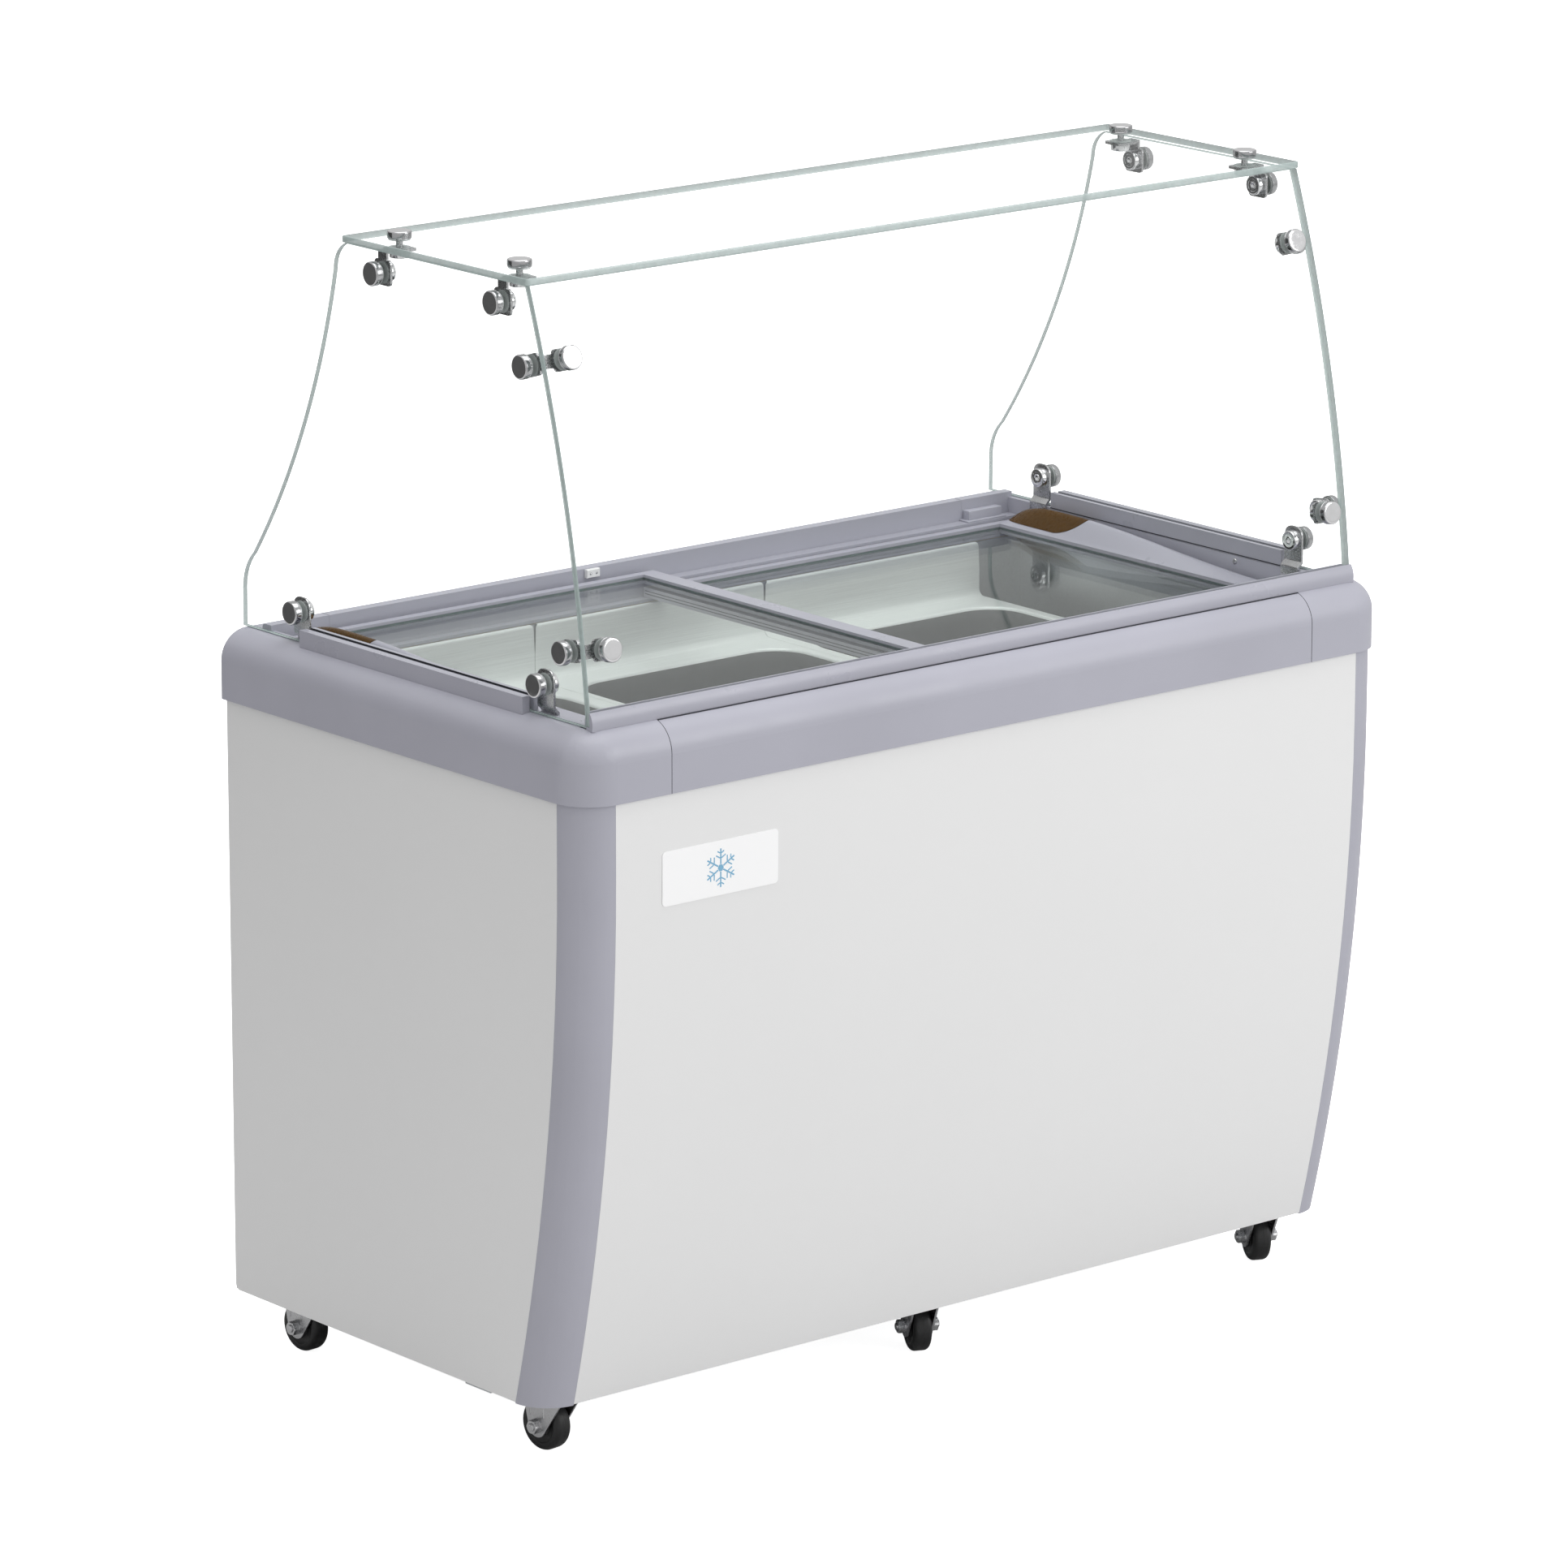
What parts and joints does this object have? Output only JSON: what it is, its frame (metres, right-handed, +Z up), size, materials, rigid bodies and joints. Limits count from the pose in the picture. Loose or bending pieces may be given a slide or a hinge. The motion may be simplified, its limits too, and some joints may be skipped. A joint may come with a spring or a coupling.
{
  "type": "chest freezer",
  "caption": "Glass-top chest freezer on swivel casters with two sliding glass lids, pans inside and a bent glass sneeze guard clamped over the top.",
  "frame": {"origin": "on the floor under the middle of the cabinet's bounding box", "axes": "+X along the cabinet's length, to the customer's right; +Y to the server's side; +Z up"},
  "size_m": [1.248, 0.6873, 1.394],
  "materials": {
    "white_steel": "satin",
    "grey_plastic": "satin",
    "grey_extrusion": "satin",
    "liner_metal": "satin",
    "stainless": "satin",
    "insulation": "matte",
    "copper": "satin",
    "glass": "gloss",
    "lid_glass": "gloss",
    "chrome": "polished",
    "zinc_steel": "satin",
    "clear_washer": "gloss",
    "brown_grip": "gloss",
    "white_plastic": "gloss",
    "badge_blue": "gloss",
    "black_rubber": "satin",
    "black_plastic": "matte",
    "black_steel": "satin",
    "galvanised": "satin"
  },
  "bodies": {
    "cabinet": {"badge": "badge_blue", "base_pan": "galvanised", "base_posts": "zinc_steel", "caster_plates": "zinc_steel", "clamp_knobs": "chrome", "clamp_nuts": "chrome", "clamp_washers": "clear_washer", "compressor": "black_steel", "condenser_coil": "liner_metal", "cord_gland": "black_plastic", "corner_brackets": "zinc_steel", "corner_trim_left": "grey_plastic", "corner_trim_right": "grey_plastic", "end_glass_left": "glass", "end_glass_right": "glass", "evaporator_coil": "copper", "fan_frame": "black_plastic", "front_glass": "glass", "front_panel": "white_steel", "glass_channels": "grey_extrusion", "inner_liner": "liner_metal", "insulation": "insulation", "lid_stop": "white_plastic", "lid_track_frame": "grey_plastic", "pan_left": "stainless", "pan_middle": "stainless", "pan_right": "stainless", "post_screws": "chrome", "rear_grille": "black_plastic", "rear_panel": "white_steel", "rim_end_left": "grey_plastic", "rim_end_right": "grey_plastic", "rim_front_strip": "grey_plastic", "rim_rear_strip": "grey_plastic", "side_panel_left": "white_steel", "side_panel_right": "white_steel", "top_brackets": "zinc_steel", "top_glass": "glass"},
    "lid_left": {"lid_left_frame": "grey_extrusion", "lid_left_glass": "lid_glass", "lid_left_handle": "grey_extrusion", "lid_left_grip": "brown_grip"},
    "lid_right": {"lid_right_frame": "grey_extrusion", "lid_right_glass": "lid_glass", "lid_right_handle": "grey_extrusion", "lid_right_grip": "brown_grip"},
    "fan": {"fan_rotor": "black_plastic"},
    "thermostat": {"thermostat_knob": "white_plastic"},
    "caster_fl": {"caster_fl_fork": "zinc_steel"},
    "wheel_fl": {"caster_fl_wheel": "black_rubber"},
    "caster_fm": {"caster_fm_fork": "zinc_steel"},
    "wheel_fm": {"caster_fm_wheel": "black_rubber"},
    "caster_fr": {"caster_fr_fork": "zinc_steel"},
    "wheel_fr": {"caster_fr_wheel": "black_rubber"},
    "caster_rl": {"caster_rl_fork": "zinc_steel"},
    "wheel_rl": {"caster_rl_wheel": "black_rubber"},
    "caster_rm": {"caster_rm_fork": "zinc_steel"},
    "wheel_rm": {"caster_rm_wheel": "black_rubber"},
    "caster_rr": {"caster_rr_fork": "zinc_steel"},
    "wheel_rr": {"caster_rr_wheel": "black_rubber"}
  },
  "joints": [
    {"name": "lid_left_slide", "type": "slide", "parent": "cabinet", "child": "lid_left", "axis": [1, 0, 0], "range_m": [0, 0.5]},
    {"name": "lid_right_slide", "type": "slide", "parent": "cabinet", "child": "lid_right", "axis": [1, 0, 0], "range_m": [-0.5, 0]},
    {"name": "fan_spin", "type": "hinge", "parent": "cabinet", "child": "fan", "pos_m": [0.46, 0.264, 0.25], "axis": [0, 1, 0], "continuous": true},
    {"name": "thermostat_turn", "type": "hinge", "parent": "cabinet", "child": "thermostat", "pos_m": [0.54, 0.33, 0.37], "axis": [0, 1, 0], "range_deg": [0, 270]},
    {"name": "caster_fl_swivel", "type": "hinge", "parent": "cabinet", "child": "caster_fl", "pos_m": [-0.557, -0.203, 0.068], "axis": [0, 0, 1], "continuous": true},
    {"name": "wheel_fl_spin", "type": "hinge", "parent": "caster_fl", "child": "wheel_fl", "pos_m": [-0.55867, -0.18709, 0.031], "axis": [-0.9945, -0.1045, 0], "continuous": true},
    {"name": "caster_fm_swivel", "type": "hinge", "parent": "cabinet", "child": "caster_fm", "pos_m": [0, -0.203, 0.068], "axis": [0, 0, 1], "continuous": true},
    {"name": "wheel_fm_spin", "type": "hinge", "parent": "caster_fm", "child": "wheel_fm", "pos_m": [0.00676, -0.1885, 0.031], "axis": [-0.9063, 0.4226, 0], "continuous": true},
    {"name": "caster_fr_swivel", "type": "hinge", "parent": "cabinet", "child": "caster_fr", "pos_m": [0.557, -0.203, 0.068], "axis": [0, 0, 1], "continuous": true},
    {"name": "wheel_fr_spin", "type": "hinge", "parent": "caster_fr", "child": "wheel_fr", "pos_m": [0.56376, -0.1885, 0.031], "axis": [-0.9063, 0.4226, 0], "continuous": true},
    {"name": "caster_rl_swivel", "type": "hinge", "parent": "cabinet", "child": "caster_rl", "pos_m": [-0.557, 0.264, 0.068], "axis": [0, 0, 1], "continuous": true},
    {"name": "wheel_rl_spin", "type": "hinge", "parent": "caster_rl", "child": "wheel_rl", "pos_m": [-0.55812, 0.27996, 0.031], "axis": [-0.9976, -0.0698, 0], "continuous": true},
    {"name": "caster_rm_swivel", "type": "hinge", "parent": "cabinet", "child": "caster_rm", "pos_m": [0, 0.264, 0.068], "axis": [0, 0, 1], "continuous": true},
    {"name": "wheel_rm_spin", "type": "hinge", "parent": "caster_rm", "child": "wheel_rm", "pos_m": [-0.00751, 0.27813, 0.031], "axis": [-0.8829, -0.4695, 0], "continuous": true},
    {"name": "caster_rr_swivel", "type": "hinge", "parent": "cabinet", "child": "caster_rr", "pos_m": [0.557, 0.264, 0.068], "axis": [0, 0, 1], "continuous": true},
    {"name": "wheel_rr_spin", "type": "hinge", "parent": "caster_rr", "child": "wheel_rr", "pos_m": [0.56114, 0.27945, 0.031], "axis": [-0.9659, 0.2588, 0], "continuous": true}
  ]
}
